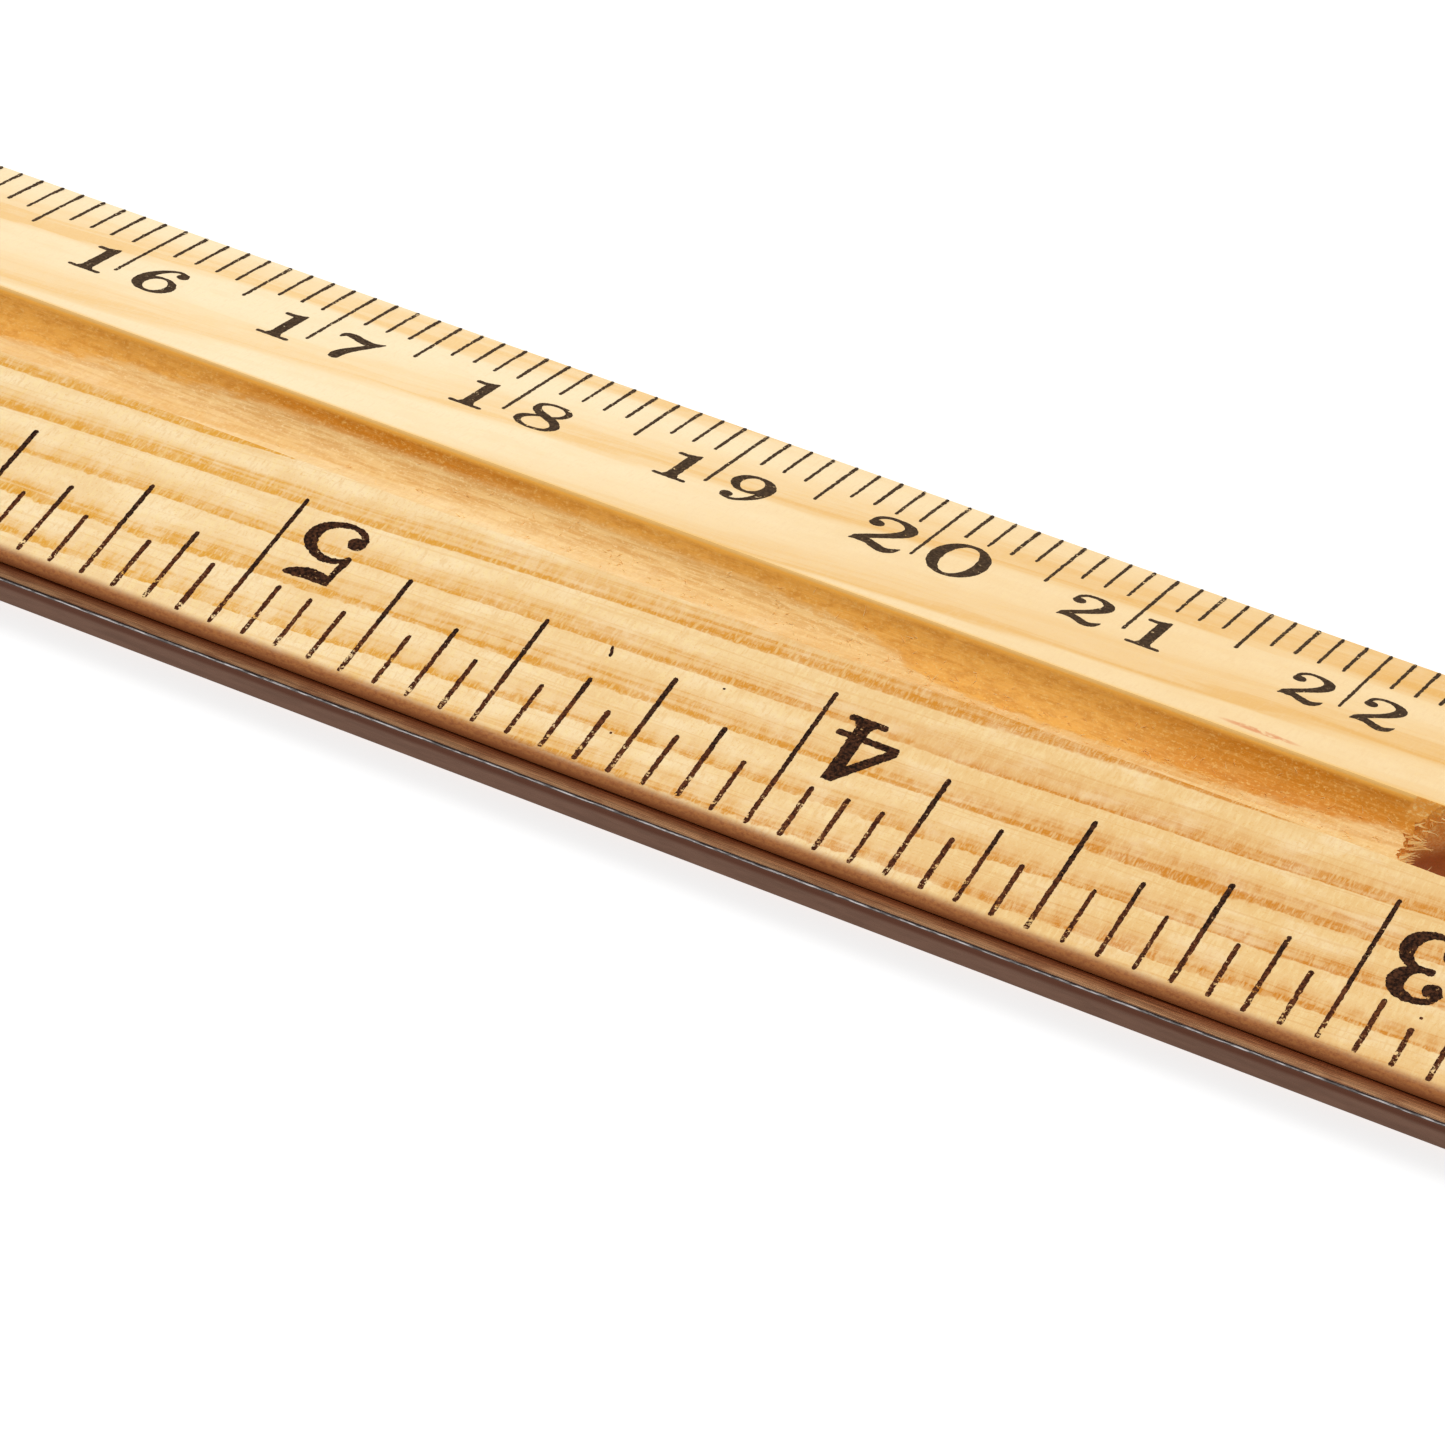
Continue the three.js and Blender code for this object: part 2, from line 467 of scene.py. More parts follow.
def pen(*knots, closed=False):
    """Quads along a stroke whose knots are (x, y, width); open strokes get round ends."""
    knots = [*knots, knots[0]] if closed else list(knots)
    path = catmull(knots, 5)
    sides = []
    for i, (x, y, width) in enumerate(path):
        x0, y0, _ = path[max(i - 1, 0)]
        x1, y1, _ = path[min(i + 1, len(path) - 1)]
        if closed and i in (0, len(path) - 1):
            x0, y0, _ = path[-2]
            x1, y1, _ = path[1]
        run = math.hypot(x1 - x0, y1 - y0)
        across = (-(y1 - y0) / run * width / 2, (x1 - x0) / run * width / 2)
        sides.append(((x + across[0], y + across[1]), (x - across[0], y - across[1])))
    quads = [[a[1], b[1], b[0], a[0]] for a, b in zip(sides, sides[1:])]
    if not closed:
        quads += [disc(x, y, width / 2) for x, y, width in (path[0], path[-1])]
    return quads


def ring(x, y, half_width, half_height, thin, thick):
    """An upright oval whose sides are thick and whose top and bottom are thin."""
    knots = []
    for i in range(16):
        turn = 2 * math.pi * i / 16
        weight = thin + (thick - thin) * abs(math.cos(turn)) ** 1.5
        inner_width, inner_height = half_width - thick / 2, half_height - thin / 2
        knots.append((x + inner_width * math.cos(turn), y + inner_height * math.sin(turn), weight))
    return pen(*knots, closed=True)


def turned(shapes, width):
    """The same shapes turned half a turn inside their box."""
    return [[(width - x, 1 - y) for x, y in shape] for shape in shapes]


NINE_WIDTH = 0.69
NINE = [
    *ring(0.32, 0.69, 0.32, 0.31, 0.07, 0.15),
    *pen((0.36, 0.966, 0.07), (0.49, 0.91, 0.12), (0.586, 0.77, 0.165), (0.604, 0.61, 0.17),
         (0.575, 0.43, 0.15), (0.505, 0.26, 0.115), (0.4, 0.12, 0.08), (0.27, 0.045, 0.07),
         (0.13, 0.09, 0.09)),
    disc(0.155, 0.16, 0.095),
]

# Each numeral is as tall as 1, with its width first and then the shapes that it is made of.
NUMERALS = {
    "0": (0.75, ring(0.375, 0.5, 0.375, 0.5, 0.07, 0.175)),
    "1": (0.542, [
        [(0.18, 0.05), (0.357, 0.05), (0.357, 0.995), (0.33, 1.0), (0.24, 0.945), (0.18, 0.93)],
        *pen((0.05, 0.885, 0.085), (0.16, 0.885, 0.09), (0.25, 0.91, 0.1)),
        [(0.135, 0.07), (0.4, 0.07), (0.357, 0.16), (0.18, 0.16)],
        *pen((0.035, 0.042, 0.075), (0.507, 0.042, 0.075)),
    ]),
    "2": (0.65, [
        disc(0.106, 0.72, 0.1, 0.9),
        *pen((0.045, 0.76, 0.06), (0.07, 0.87, 0.07), (0.165, 0.95, 0.07), (0.292, 0.962, 0.075),
             (0.425, 0.925, 0.115), (0.53, 0.82, 0.17), (0.525, 0.69, 0.175), (0.44, 0.555, 0.14),
             (0.32, 0.43, 0.115), (0.19, 0.312, 0.115), (0.085, 0.2, 0.12)),
        *pen((0.02, 0.115, 0.03), (0.1, 0.18, 0.13), (0.24, 0.18, 0.14), (0.36, 0.125, 0.15),
             (0.47, 0.085, 0.15), (0.56, 0.115, 0.12), (0.615, 0.18, 0.07), (0.645, 0.235, 0.015)),
    ]),
    "3": (0.69, [
        disc(0.14, 0.765, 0.11, 0.95),
        *pen((0.055, 0.78, 0.07), (0.13, 0.9, 0.085), (0.28, 0.955, 0.09), (0.44, 0.92, 0.15),
             (0.53, 0.81, 0.2), (0.52, 0.68, 0.18), (0.43, 0.575, 0.11), (0.33, 0.535, 0.085),
             (0.26, 0.53, 0.1)),
        *pen((0.33, 0.535, 0.075), (0.47, 0.515, 0.11), (0.575, 0.41, 0.16), (0.6, 0.28, 0.18),
             (0.55, 0.14, 0.16), (0.42, 0.05, 0.1), (0.27, 0.035, 0.075), (0.13, 0.08, 0.08),
             (0.05, 0.19, 0.07)),
        disc(0.135, 0.235, 0.108, 0.95),
    ]),
    "4": (0.743, [
        [(0.42, 0.03), (0.582, 0.03), (0.582, 0.985), (0.463, 0.985), (0.42, 0.93)],
        [(0.0, 0.31), (0.1, 0.31), (0.43, 0.74), (0.43, 0.94), (0.463, 0.985), (0.0, 0.37)],
        *pen((0.045, 0.3, 0.088), (0.695, 0.3, 0.088)),
        [(0.37, 0.08), (0.63, 0.08), (0.582, 0.17), (0.42, 0.17)],
        *pen((0.295, 0.05, 0.083), (0.67, 0.05, 0.083)),
    ]),
    "5": (0.69, [
        [(0.082, 0.964), (0.3, 0.958), (0.6, 0.985), (0.635, 0.95), (0.6, 0.9), (0.52, 0.84),
         (0.41, 0.795), (0.29, 0.785), (0.15, 0.81), (0.09, 0.82)],
        *pen((0.115, 0.93, 0.07), (0.105, 0.75, 0.075), (0.09, 0.6, 0.09), (0.075, 0.5, 0.08)),
        *pen((0.075, 0.49, 0.045), (0.16, 0.57, 0.07), (0.3, 0.6, 0.1), (0.44, 0.565, 0.11),
             (0.56, 0.47, 0.145), (0.61, 0.33, 0.165), (0.575, 0.19, 0.14), (0.46, 0.085, 0.095),
             (0.28, 0.035, 0.075), (0.13, 0.075, 0.08), (0.045, 0.165, 0.07), (0.03, 0.25, 0.05)),
        disc(0.112, 0.255, 0.104, 0.92),
    ]),
    "6": (NINE_WIDTH, turned(NINE, NINE_WIDTH)),
    "7": (0.72, [
        *pen((0.035, 0.78, 0.05), (0.075, 0.88, 0.11), (0.2, 0.9, 0.16), (0.335, 0.85, 0.17),
             (0.484, 0.82, 0.17), (0.6, 0.85, 0.13), (0.7, 0.95, 0.03)),
        *pen((0.6, 0.82, 0.09), (0.53, 0.69, 0.115), (0.43, 0.5, 0.135), (0.35, 0.32, 0.165),
             (0.315, 0.17, 0.18), (0.315, 0.09, 0.17)),
    ]),
    "8": (0.72, [
        *pen((0.11, 0.79, 0.1), (0.14, 0.68, 0.14), (0.25, 0.585, 0.155), (0.4, 0.51, 0.16),
             (0.54, 0.43, 0.16), (0.63, 0.32, 0.15), (0.645, 0.22, 0.13), (0.56, 0.085, 0.085),
             (0.36, 0.035, 0.065), (0.165, 0.08, 0.08), (0.07, 0.2, 0.12), (0.085, 0.33, 0.115),
             (0.18, 0.43, 0.08), (0.3, 0.505, 0.06)),
        *pen((0.43, 0.53, 0.06), (0.545, 0.62, 0.08), (0.6, 0.74, 0.105), (0.585, 0.85, 0.11),
             (0.485, 0.94, 0.085), (0.352, 0.965, 0.065), (0.21, 0.94, 0.075), (0.12, 0.86, 0.09),
             (0.11, 0.78, 0.1)),
    ]),
    "9": (NINE_WIDTH, NINE),
}


def finely(shape, longest):
    """The same outline with its long edges cut into steps no longer than longest."""
    fine = []
    for a, b in zip(shape, [*shape[1:], shape[0]]):
        steps = max(1, math.ceil(math.dist(a, b) / longest))
        fine += [(a[0] + (b[0] - a[0]) * i / steps, a[1] + (b[1] - a[1]) * i / steps)
                 for i in range(steps)]
    return fine


def union(shapes):
    """One triangulated outline from shapes that overlap: its points and its triangles."""
    points, faces = [], []
    for shape in shapes:
        area = sum(a[0] * b[1] - b[0] * a[1] for a, b in zip(shape, shape[1:] + shape[:1]))
        ordered = shape if area > 0 else shape[::-1]
        faces.append(list(range(len(points), len(points) + len(ordered))))
        points += [Vector(p) for p in ordered]
    result = delaunay_2d_cdt(points, [], faces, 1, 1e-5)
    verts, triangles, sources = result[0], result[2], result[5]
    return verts, [t for t, source in zip(triangles, sources) if source]


def add_ink(mesh, outline, place, ragged, seed):
    """Adds one printed mark: a thin closed slab that lies on the wood.

    place turns a point of the outline into x and y on the ruler, and ragged is how far its
    edge strays.
    """
    points, triangles = outline
    border = {}
    for triangle in triangles:
        for a, b in zip(triangle, [*triangle[1:], triangle[0]]):
            if (b, a) in border:
                del border[(b, a)]
            else:
                border[(a, b)] = True
    rim = {i for edge in border for i in edge}
    upper, lower = [], []
    for i, point in enumerate(points):
        x, y = place(point)
        if i in rim:
            fray = ragged * smooth_noise(x * 4, y * 4, seed)
            x += fray + ragged * smooth_noise(x * 12, y * 12, seed + 40)
            y += fray + ragged * smooth_noise(x * 12, y * 12, seed + 20)
        z = top_height(y)
        upper.append(mesh.verts.new(to_frame(x, y, z + INK_THICKNESS)))
        lower.append(mesh.verts.new(to_frame(x, y, z - INK_DEPTH)))
    for a, b, c in triangles:
        mesh.faces.new((upper[a], upper[b], upper[c]))
        mesh.faces.new((lower[c], lower[b], lower[a]))
    for a, b in border:
        mesh.faces.new((upper[a], lower[a], lower[b], upper[b]))


def tick_outline(length, width):
    """A tick from y = 0 to length with narrowed ends, as points and triangles."""
    steps = max(4, round(length / TICK_STEP))
    left = [(-width / 2, length * i / steps) for i in range(1, steps)]
    right = [(width / 2, length * i / steps) for i in range(steps - 1, 0, -1)]
    first_end = [(width * 0.3, 0.0), (-width * 0.3, 0.0)]
    second_end = [(-width * 0.25, length), (width * 0.25, length)]
    return union([[*first_end, *left, *second_end, *right]])


def numeral_outlines():
    """Each numeral's outline with short edges, so that its border can be frayed."""
    return {digit: union([finely(shape, NUMERAL_STEP) for shape in shapes])
            for digit, (_, shapes) in NUMERALS.items()}


def inch_tick_end(sixteenths):
    """Far end of an inch mark; the eighth that stands beside a numeral is cut short."""
    step = sixteenths % 16
    if step == 0:
        return INCH_END
    if step == 8:
        return HALF_END
    if step % 4 == 0:
        return QUARTER_END
    if step % 2 == 0 and step != 14:
        return EIGHTH_END
    return SIXTEENTH_END


def make_inch_ticks(draw):
    mesh = bmesh.new()
    for sixteenths in range(1, INCHES * 16):
        x = LENGTH - INCH * sixteenths / 16 + draw.gauss(0, 0.012)
        end = SHORT_MARKS.get(sixteenths, inch_tick_end(sixteenths)) + draw.gauss(0, 0.04)
        start = INK_START + abs(draw.gauss(0, 0.05))
        width = INCH_TICK_WIDTH * draw.uniform(0.9, 1.1)
        lean = draw.gauss(0, 0.004)
        outline = tick_outline(end - start, width)
        add_ink(mesh, outline, lambda p: (x + p[0] + lean * p[1], start + p[1]),
                INCH_TICK_RAGGED, sixteenths)
    for seed, (x, y, length, width, lean) in enumerate(STRAY_MARKS):
        add_ink(mesh, tick_outline(length, width), lambda p: (x + p[0] + lean * p[1], y + p[1]),
                STRAY_RAGGED, seed)
    return finish_mesh("ink_inch_marks", mesh)


def make_inch_numbers(outlines):
    """The inch numerals read from the far side, on the side of their line towards zero."""
    mesh = bmesh.new()
    for number in range(1, INCHES + 1):
        digits = str(number)
        squeeze = PAIR_SQUEEZE if len(digits) > 1 else 1.0
        edge = LENGTH - INCH * number + INCH_DIGIT_GAP
        top = INCH_DIGIT_TOP + INCH_DIGIT_STRAY * math.sin(0.9 * (number - 4.1))
        for digit in reversed(digits):
            width = NUMERALS[digit][0] * INCH_DIGIT_HEIGHT * squeeze
            right = edge + width

            def place(p):
                across = p[0] * INCH_DIGIT_HEIGHT * squeeze
                return right - across, top + (1 - p[1]) * INCH_DIGIT_HEIGHT

            add_ink(mesh, outlines[digit], place, INCH_DIGIT_RAGGED, number)
            edge = right + INCH_DIGIT_SPACE
    return finish_mesh("ink_inch_numbers", mesh)


def metric_tick_end(division):
    """Where a metric mark begins; it runs from there to the thin edge."""
    if division % DIVISIONS_PER_NUMBER == 0:
        return MAJOR_END
    if division % (2 * DIVISIONS_PER_NUMBER) in MIDDLE_DIVISIONS:
        return MIDDLE_END
    return MINOR_END


def make_metric_ticks(draw):
    mesh = bmesh.new()
    pitch = METRIC_NUMBER_STEP / DIVISIONS_PER_NUMBER
    for division in range(DIVISIONS_PER_NUMBER * METRIC_NUMBERS + 1):
        x = METRIC_ZERO + pitch * division + draw.gauss(0, 0.01)
        end = metric_tick_end(division) + draw.gauss(0, 0.05)
        width = METRIC_TICK_WIDTH * draw.uniform(0.9, 1.1)
        outline = tick_outline(METRIC_EDGE - end, width)
        add_ink(mesh, outline, lambda p: (x + p[0], end + p[1]), METRIC_TICK_RAGGED, division)
    return finish_mesh("ink_metric_marks", mesh)


def make_metric_numbers(outlines, draw):
    """Tens stand to the left of their long mark and units to its right; 10, 20, 30 are larger."""
    mesh = bmesh.new()
    for number in range(1, METRIC_NUMBERS + 1):
        line = METRIC_ZERO + METRIC_NUMBER_STEP * number
        is_ten = number % 10 == 0
        height = METRIC_TEN_HEIGHT if is_ten else METRIC_DIGIT_HEIGHT
        top = METRIC_TEN_TOP if is_ten else METRIC_DIGIT_TOP
        gap = METRIC_TEN_GAP if is_ten else METRIC_DIGIT_GAP
        for side, digit in zip((-1, 1), f"{number:2d}"):
            if digit == " ":
                continue
            width = NUMERALS[digit][0] * height
            left = line + gap if side > 0 else line - gap - width
            left += draw.gauss(0, 0.03) + MISPLACED.get(number, 0.0)

            def place(p):
                return left + p[0] * height, top - (1 - p[1]) * height

            add_ink(mesh, outlines[digit], place, METRIC_DIGIT_RAGGED, number + 40)
    return finish_mesh("ink_metric_numbers", mesh)


# ---------------------------------------------------------------- materials


class Graph:
    """Short calls that add nodes to a node tree and return what they put out."""

    def __init__(self, tree):
        self.tree = tree

    def node(self, kind, inputs=(), output=0, **settings):
        made = self.tree.nodes.new("ShaderNode" + kind)
        for name, value in settings.items():
            setattr(made, name, value)
        for name, value in dict(inputs).items():
            self.feed(made.inputs[name], value)
        return made.outputs[output]

    def feed(self, socket, value):
        if isinstance(value, bpy.types.NodeSocket):
            self.tree.links.new(value, socket)
        elif value is not None:
            socket.default_value = value

    def math(self, operation, a, b=None, c=None, clamp=False):
        inputs = {0: a, 1: b, 2: c}
        return self.node("Math", inputs, operation=operation, use_clamp=clamp)

    def times(self, a, b):
        return self.math("MULTIPLY", a, b)

    def smooth(self, value, low, high, start=0.0, end=1.0):
        inputs = {0: value, 1: low, 2: high, 3: start, 4: end}
        return self.node("MapRange", inputs, interpolation_type="SMOOTHSTEP")

    def mix(self, factor, a, b, blend="MIX"):
        inputs = {0: factor, 6: a, 7: b}
        return self.node("Mix", inputs, output=2, data_type="RGBA", blend_type=blend)

    def wave(self, value, crest, length):
        """Cosine that is 1 at crest and repeats after length."""
        turns = self.times(self.math("SUBTRACT", value, crest), 2 * math.pi / length)
        return self.math("COSINE", turns)

    def split(self, vector):
        """The x, y and z of a vector."""
        made = self.tree.nodes.new("ShaderNodeSeparateXYZ")
        self.feed(made.inputs[0], vector)
        return tuple(made.outputs)

    def stretch(self, vector, x, y, z):
        return self.node("VectorMath", {0: vector, 1: (x, y, z)}, operation="MULTIPLY")

    def noise(self, vector, detail=2.0, roughness=0.5):
        inputs = {"Vector": vector, "Scale": 1.0, "Detail": detail, "Roughness": roughness}
        return self.node("TexNoise", inputs)


def colour(red, green, blue):
    """A colour given as the 0 to 255 values of a picture, for a shader socket."""
    channels = [c / 255 for c in (red, green, blue)]
    linear = [c / 12.92 if c <= 0.04045 else ((c + 0.055) / 1.055) ** 2.4 for c in channels]
    return (*linear, 1.0)


def places_on_ruler(g):
    """Millimetres along x, y and z as separate values, and the same as one vector."""
    here = g.node("TexCoord", output=3)
    scaled = g.node("VectorMath", {0: here, "Scale": 1 / MM}, operation="SCALE")
    shift = (-wood_low.x / MM, -wood_low.y / MM, 0.0)
    ruler = g.node("VectorMath", {0: scaled, 1: shift}, operation="ADD")
    return (*g.split(ruler), ruler)


def pine_rings(g, x, y, z, ruler):
    """Strength of the late wood at a place, 0 for none, and the number of rings up to there.

    Depth is the distance across the rings, which RING_CURVE bends a little.
    """
    wander = g.noise(g.stretch(ruler, 0.014, 0.11, 0.11))
    ripple = g.noise(g.stretch(ruler, 0.06, 0.8, 0.8))
    ragged = g.noise(g.stretch(ruler, 2.4, 0.5, 0.5), detail=3.0, roughness=0.6)
    off_middle = g.math("SUBTRACT", y, RING_MIDDLE_Y)
    bend = g.times(g.times(off_middle, off_middle), RING_CURVE)
    depth = g.math("MULTIPLY_ADD", y, RING_TILT[1], bend)
    depth = g.math("MULTIPLY_ADD", z, RING_TILT[2], depth)
    depth = g.math("MULTIPLY_ADD", x, RING_TILT[0], depth)
    depth = g.math("MULTIPLY_ADD", g.math("SUBTRACT", wander, 0.5), 0.6, depth)
    depth = g.math("MULTIPLY_ADD", g.math("SUBTRACT", ripple, 0.5), 0.5, depth)
    toothed = g.times(g.smooth(y, 1.0, 10.0, 0.26, 0.1),
                      g.smooth(y, NEAR_LOOK_Y, FAR_LOOK_Y, 1.0, 0.0))
    fray = g.times(g.math("SUBTRACT", ragged, 0.5), toothed)
    smooth_ring = g.math("DIVIDE", g.math("ADD", depth, RING_SHIFT), RING_SPACING)
    ring = g.math("DIVIDE", g.math("ADD", g.math("ADD", fray, depth), RING_SHIFT), RING_SPACING)
    age = g.math("FRACT", ring)
    number = g.math("FLOOR", ring)
    vigour = g.node("TexWhiteNoise", {"W": number}, noise_dimensions="1D")
    fade = g.math("ADD", g.smooth(age, 0.1, 0.24, 0.5, 0.0), g.smooth(age, 0.14, 0.78, 0.78, 0.0))
    rise = g.smooth(y, NEAR_LOOK_Y, FAR_LOOK_Y, 0.05, 0.2)
    late = g.times(g.smooth(age, 0.0, rise), fade)
    return g.times(late, g.math("MULTIPLY_ADD", vigour, 0.35, 0.85)), smooth_ring


def pine_colour(g, x, y, z, ruler):
    """Colour of the lacquered pine at a place, and the strength of its late wood."""
    late, ring = pine_rings(g, x, y, z, ruler)
    patch = g.noise(g.stretch(ruler, 0.04, 0.22, 0.22))
    warmth = g.math("MULTIPLY_ADD", g.wave(x, 224.0, 110.0), 0.42, 0.5)
    warmth = g.math("MULTIPLY_ADD", g.math("SUBTRACT", patch, 0.5), 0.7, warmth, clamp=True)
    side = g.smooth(y, NEAR_LOOK_Y, FAR_LOOK_Y)
    rough = g.smooth(y, NEAR_LOOK_Y, FAR_LOOK_Y, 1.0, 0.3)
    early = g.mix(side, g.mix(warmth, colour(250, 222, 173), colour(240, 201, 138)),
                  g.mix(warmth, colour(253, 232, 192), colour(245, 212, 158)))
    dark = g.mix(side, g.mix(warmth, colour(227, 163, 52), colour(208, 128, 3)),
                 g.mix(warmth, colour(247, 208, 146), colour(233, 178, 94)))

    along_rings = g.node("CombineXYZ", {0: g.times(x, 0.05), 1: g.times(ring, 11.0)})
    line = g.noise(along_rings, detail=3.0, roughness=0.6)
    block = g.noise(g.stretch(ruler, 1.9, 0.5, 0.5))
    weave = g.noise(g.stretch(ruler, 7.0, 1.5, 1.5), roughness=0.6)
    cloud = g.noise(g.stretch(ruler, 0.35, 0.8, 0.8), detail=3.0, roughness=0.6)
    speck = g.noise(g.stretch(ruler, 9.0, 8.0, 8.0), detail=3.0, roughness=0.7)
    strength = g.math("SUBTRACT", g.smooth(y, 2.0, 9.0, 1.0, 0.6), g.times(side, 0.6))
    dashes = g.times(g.smooth(block, 0.42, 0.58, -0.4, 0.12), strength)
    broken = g.times(late, g.math("ADD", dashes, 1.0))
    share = g.times(broken, g.smooth(line, 0.4, 0.58, 0.7, 1.1))
    share = g.math("MULTIPLY_ADD", g.times(g.smooth(line, 0.55, 0.64), rough), 0.24, share)
    swell = g.times(g.math("SUBTRACT", weave, 0.5), rough)
    swell = g.times(swell, g.math("MULTIPLY_ADD", share, 2.2, 0.8))
    share = g.math("ADD", swell, share, clamp=True)
    in_groove = g.times(g.smooth(y, 10.9, 11.5), g.smooth(y, 14.3, 14.5, 1.0, 0.0))
    share = g.times(share, g.math("MULTIPLY_ADD", in_groove, -0.5, 1.0))
    grain = g.mix(share, early, dark)
    hazy = g.times(g.smooth(cloud, 0.48, 0.68, 0.0, 0.4), rough)
    hazy = g.times(hazy, g.math("MULTIPLY_ADD", share, -0.6, 1.0))
    grain = g.mix(hazy, grain, colour(254, 234, 194))
    between_bands = g.times(g.math("SUBTRACT", 1.0, share), rough)
    dull = g.math("MAXIMUM", g.smooth(weave, 0.3, 0.52, 0.42, 0.0),
                  g.smooth(cloud, 0.34, 0.52, 0.34, 0.0))
    grain = g.mix(g.times(dull, between_bands), grain, colour(230, 182, 110))
    pale = g.times(g.smooth(weave, 0.46, 0.7, 0.0, 0.42), rough)
    grain = g.mix(pale, grain, colour(255, 232, 172))
    brown = g.times(g.smooth(speck, 0.54, 0.72, 0.0, 0.4), rough)
    grain = g.mix(brown, grain, colour(226, 164, 66))
    return grain, late


def amber_share(g, x, y, ruler):
    """Where the gouge laid open a late ring, and painted shade of the far wall: amber from the far
    lip down to a wandering edge.
    """
    rough = g.noise(g.stretch(ruler, 0.16, 1.0, 1.0), detail=4.0, roughness=0.6)
    frayed = g.noise(g.stretch(ruler, 1.2, 3.0, 3.0), detail=3.0)
    edge = g.math("MULTIPLY_ADD", g.wave(x, 211.0, 62.0), -1.0, 13.2)
    edge = g.math("MULTIPLY_ADD", g.math("SUBTRACT", rough, 0.5), 0.9, edge)
    edge = g.math("MULTIPLY_ADD", g.math("SUBTRACT", frayed, 0.5), 0.6, edge)
    edge = g.math("ADD", edge, g.smooth(g.wave(x, 195.0, 55.0), 0.3, 0.65, 0.0, 0.85))
    above = g.smooth(g.math("SUBTRACT", y, g.math("MINIMUM", edge, 13.9)), -0.24, 0.18)
    return g.times(above, g.smooth(y, GROOVE_END, GROOVE_END + 0.06, 1.0, 0.0))


def stained_groove(g, wood, x, y, ruler, flecks, stain, printed_side):
    """Tan over the groove's floor and amber towards its far lip, both partly painted shade, painted
    light on the wall below that lip, and a painted gold half-shade on the lip itself.
    """
    sparkle = g.smooth(flecks, 0.5, 0.68, 0.0, 0.75)
    streak = g.noise(g.stretch(ruler, 0.5, 5.0, 5.0), detail=4.0, roughness=0.65)
    in_groove = g.times(g.smooth(y, GROOVE_START + 0.6, GROOVE_START + 2.6),
                        g.smooth(y, GROOVE_END, GROOVE_END + 0.06, 1.0, 0.0))
    in_groove = g.times(in_groove, printed_side)
    # The tan is partly lacquer and partly painted shade inside the groove.
    tan = g.mix(g.smooth(streak, 0.38, 0.62), colour(218, 160, 80), colour(238, 194, 124))
    tan = g.mix(sparkle, tan, colour(250, 216, 156))
    shade = g.mix(g.times(in_groove, 0.85), wood, tan)

    # The amber is partly late wood and partly painted shade of the groove's far wall, which faces
    # away from the light.
    amber_and_shade = g.times(amber_share(g, x, y, ruler), printed_side)
    redder = g.smooth(g.wave(x, 179.0, 44.0), 0.0, 1.0)
    deep = g.mix(redder, colour(236, 170, 74), colour(212, 130, 20))
    deep = g.mix(g.smooth(stain, 0.4, 0.65, 0.0, 0.5), deep, colour(196, 120, 20))
    deep = g.mix(g.smooth(streak, 0.48, 0.68, 0.0, 0.35), deep, colour(236, 172, 84))
    deep = g.mix(sparkle, deep, colour(242, 190, 104))
    shade = g.mix(g.times(amber_and_shade, 0.95), shade, deep)

    # Painted light: the steep wall under the far lip is lightened to gold where it turns away from
    # the light.
    painted_wall_light = g.times(in_groove, g.smooth(y, GROOVE_END - 0.15, GROOVE_END))
    shade = g.mix(painted_wall_light, shade, colour(255, 188, 82))
    # Painted half-shade: a gold band on the far lip's rounding, between the groove and the lit bevel.
    painted_lip_half_shade = g.times(g.smooth(y, GROOVE_END - 0.02, GROOVE_END + 0.02),
                         g.smooth(y, GROOVE_END + 0.02, GROOVE_END + 0.34, 0.85, 0.0))
    painted_lip_half_shade = g.times(painted_lip_half_shade, printed_side)
    return g.mix(painted_lip_half_shade, shade, colour(247, 198, 116))


def resin_share(g, x, y, stain, printed_side):
    """The streak of resin beside the groove: an oval with broken edges."""
    off_x = g.math("DIVIDE", g.math("SUBTRACT", x, RESIN_X), RESIN_LENGTH)
    off_y = g.math("DIVIDE", g.math("SUBTRACT", y, RESIN_Y), RESIN_WIDTH)
    spread_out = g.math("ADD", g.times(off_x, off_x), g.times(off_y, off_y))
    oval = g.times(g.smooth(spread_out, 1.0, 0.1), g.smooth(stain, 0.38, 0.52))
    return g.times(g.times(oval, printed_side), 0.85)


def hole_walls(g, x, y, facing_x, facing_y):
    """Distance from the middle of the nearest hole, and how far the surface faces that middle."""
    along = g.math("WRAP", g.math("SUBTRACT", x, FIRST_HOLE), HOLE_PITCH / 2, -HOLE_PITCH / 2)
    aside = g.math("SUBTRACT", y, HOLE_Y)
    squares = g.math("ADD", g.times(along, along), g.times(aside, aside))
    radius = g.math("SQRT", squares)
    outward = g.math("MULTIPLY_ADD", facing_y, aside, g.times(facing_x, along))
    return radius, g.math("DIVIDE", g.times(outward, -1.0), radius)


def stained_holes(g, shade, x, y, z, facing_x, facing_y, flecks):
    """Painted shade deep in the bores, brown towards their bottoms, gold higher up, and cream flecks
    on the torn rims.
    """
    radius, inward = hole_walls(g, x, y, facing_x, facing_y)
    torn = g.times(g.smooth(inward, 0.25, 0.5),
                   g.smooth(radius, TORN_RADIUS, TORN_RADIUS + 0.1, 1.0, 0.0))
    rim = g.times(torn, g.smooth(radius, BORE_RADIUS + 0.02, BORE_RADIUS + 0.12))
    bore_tone = g.mix(g.smooth(flecks, 0.4, 0.7), colour(232, 156, 66), colour(250, 208, 132))
    # Painted shade: the bores darken to brown towards their bottoms.
    bore_tone = g.mix(g.smooth(z, 1.3, 2.6), colour(172, 92, 22), bore_tone)
    rim_tone = g.mix(g.smooth(flecks, 0.46, 0.7), colour(234, 160, 64), colour(250, 214, 142))
    return g.mix(rim, g.mix(torn, shade, bore_tone), rim_tone)


